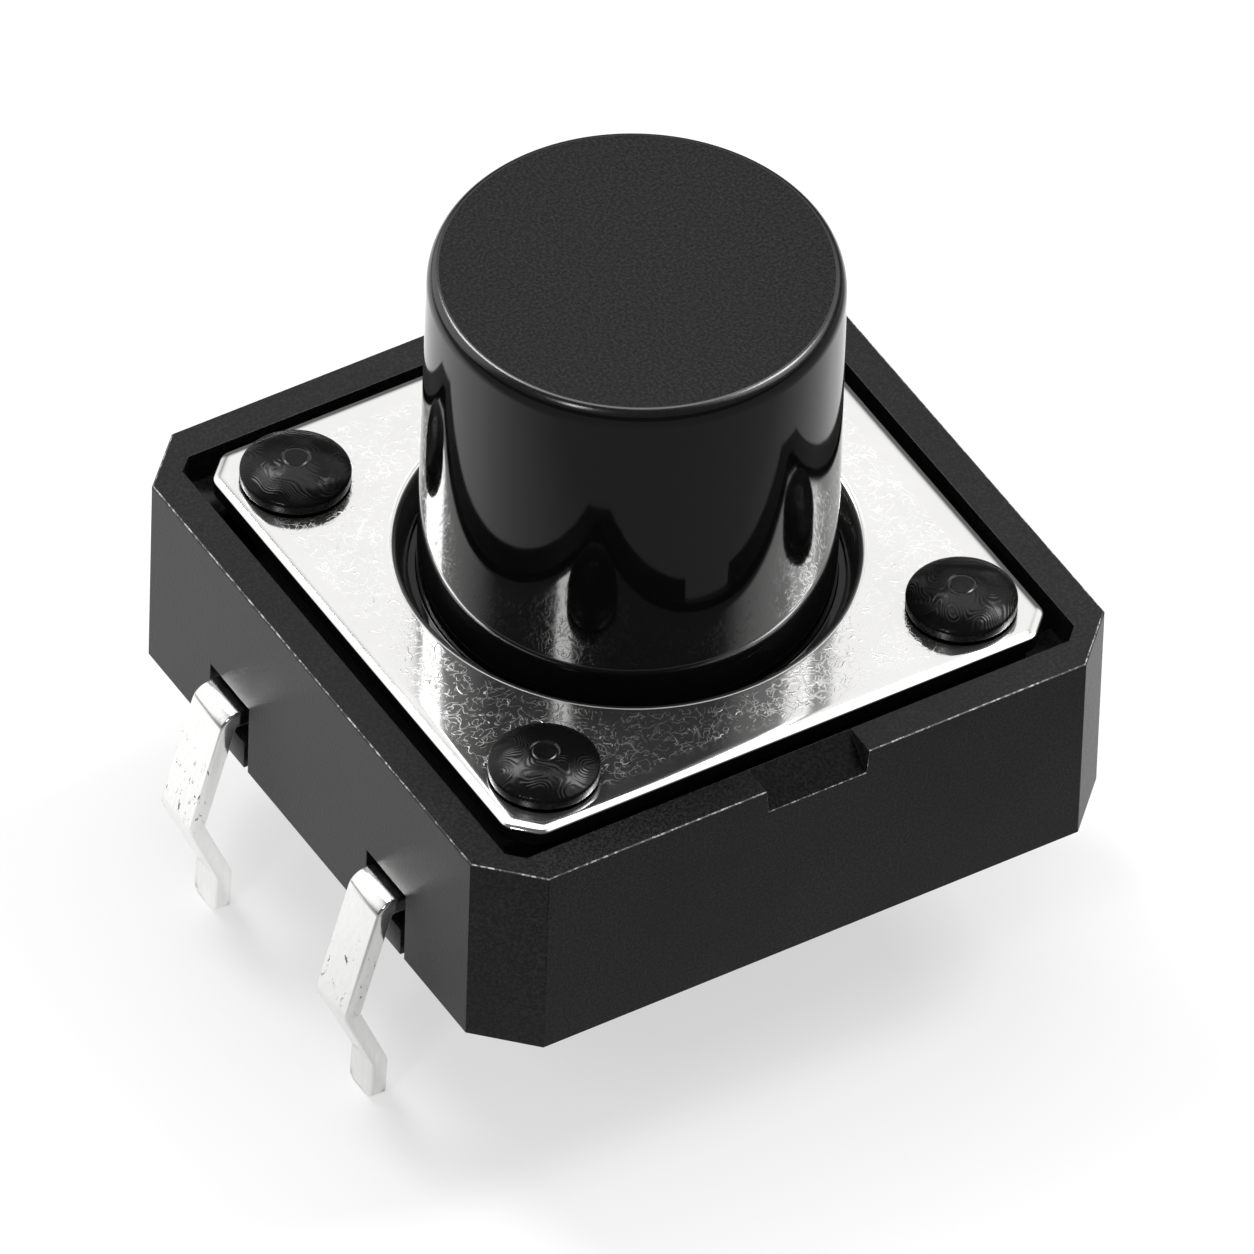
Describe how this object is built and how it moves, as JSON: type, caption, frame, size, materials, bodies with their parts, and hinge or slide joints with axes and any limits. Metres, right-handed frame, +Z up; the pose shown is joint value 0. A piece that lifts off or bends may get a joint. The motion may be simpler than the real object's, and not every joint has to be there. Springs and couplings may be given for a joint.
{
  "type": "tactile push button switch",
  "caption": "Square through-hole tactile push button switch with a tall round button, a staked steel cover and kinked snap-in legs.",
  "frame": {"origin": "middle of the switch's underside, which sits on the circuit board", "axes": "+Z up through the button; -Y is the side with the notch in the rim; the legs stand on the -X and +X sides"},
  "size_m": [0.014, 0.012, 0.0133],
  "materials": {
    "housing_plastic": "matte black moulded plastic with fine grain",
    "base_plastic": "satin black moulded plastic",
    "cover_steel": "bright polished steel with fine curly scratches",
    "button_plastic": "glossy black wall, matte top",
    "dome_steel": "bright spring steel",
    "contact_tin": "tin plated, satin"
  },
  "bodies": {
    "switch_body": {"housing": "housing_plastic", "base": "base_plastic", "cover_plate": "cover_steel", "centre_contact": "contact_tin", "rim_contact": "contact_tin", "snap_dome": "dome_steel"},
    "plunger": {"button": "button_plastic"}
  },
  "joints": [
    {"name": "button_press", "type": "slide", "parent": "switch_body", "child": "plunger", "axis": [0, 0, -1], "range_m": [0, 0.0003], "stiffness_N_per_m": 5300, "springref_m": -0.00002, "deforming": ["snap_dome"]}
  ]
}
